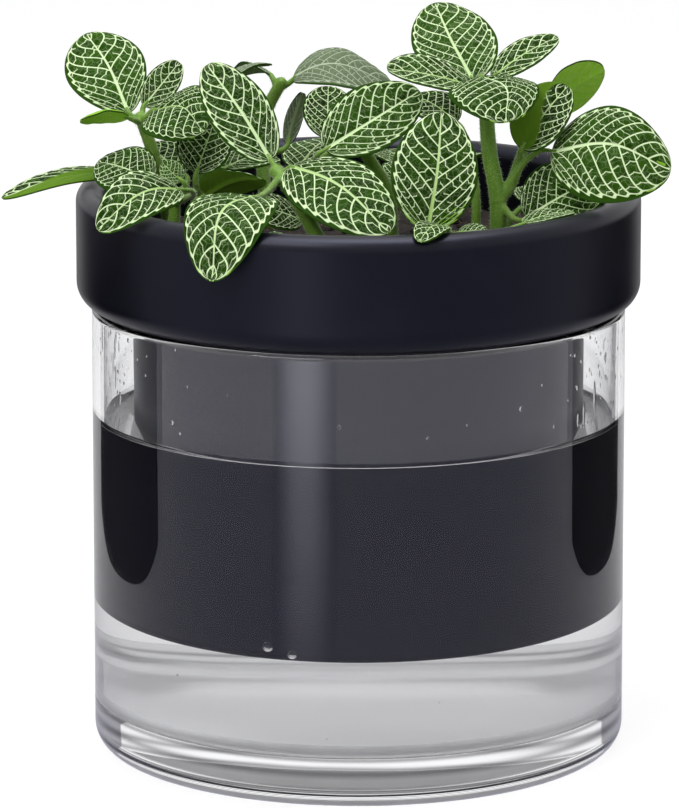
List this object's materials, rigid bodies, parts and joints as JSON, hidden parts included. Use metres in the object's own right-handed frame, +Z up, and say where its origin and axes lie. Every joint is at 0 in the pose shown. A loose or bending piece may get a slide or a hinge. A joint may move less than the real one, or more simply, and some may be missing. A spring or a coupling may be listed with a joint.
{
  "type": "self-watering plant pot",
  "caption": "Black clay pot hung by its collar in a clear glass jar of water, with soil and a nerve plant; pot and root ball lift out.",
  "frame": {"origin": "centre of the jar's flat underside, on the table", "axes": "+Z up along the axis of the jar and pot, -Y towards the front that the picture shows"},
  "size_m": [0.1643, 0.14, 0.1856],
  "materials": {
    "clear_glass": "clear, polished",
    "black_clay": "satin, fired black",
    "water": "clear, still",
    "potting_soil": "moist, crumbly",
    "stem": "matt, finely haired",
    "leaf": "satin dark green with pale veins"
  },
  "bodies": {
    "jar": {"glass_jar": "clear_glass", "water": "water"},
    "pot": {"clay_pot": "black_clay"},
    "plant": {"potting_soil": "potting_soil", "stem_back": "stem", "stem_back_right": "stem", "stem_centre": "stem", "stem_front": "stem", "stem_left": "stem", "stem_left_low": "stem", "stem_mid_left": "stem", "stem_right": "stem", "stem_right_back": "stem", "stem_right_front": "stem", "stem_right_rear": "stem", "leaf_back_arching": "leaf", "leaf_back_inner": "leaf", "leaf_back_left": "leaf", "leaf_back_middle": "leaf", "leaf_back_pale": "leaf", "leaf_back_right": "leaf", "leaf_back_thin": "leaf", "leaf_centre_back": "leaf", "leaf_centre_bright": "leaf", "leaf_centre_dark": "leaf", "leaf_front_centre": "leaf", "leaf_front_drooping": "leaf", "leaf_front_low": "leaf", "leaf_front_shade": "leaf", "leaf_front_tall": "leaf", "leaf_left_bud": "leaf", "leaf_left_crown": "leaf", "leaf_left_dark": "leaf", "leaf_left_inner": "leaf", "leaf_left_lip": "leaf", "leaf_left_long": "leaf", "leaf_left_over_lip": "leaf", "leaf_left_side": "leaf", "leaf_left_tiny": "leaf", "leaf_lip_small": "leaf", "leaf_lip_tiny": "leaf", "leaf_lip_upright": "leaf", "leaf_mid_left_back": "leaf", "leaf_mid_left_flat": "leaf", "leaf_mid_left_under": "leaf", "leaf_mid_left_up": "leaf", "leaf_right_back": "leaf", "leaf_right_crown": "leaf", "leaf_right_crown_back": "leaf", "leaf_right_crown_front": "leaf", "leaf_right_crown_left": "leaf", "leaf_right_dark": "leaf", "leaf_right_folded": "leaf", "leaf_right_low": "leaf", "leaf_right_over_lip": "leaf", "leaf_right_thin": "leaf", "leaf_right_under": "leaf"}
  },
  "joints": [
    {"name": "pot_lift", "type": "slide", "parent": "jar", "child": "pot", "axis": [0, 0, 1], "range_m": [0, 0.085], "deforming": ["water"]},
    {"name": "plant_lift", "type": "slide", "parent": "pot", "child": "plant", "axis": [0, 0, 1], "range_m": [0, 0.105]}
  ]
}
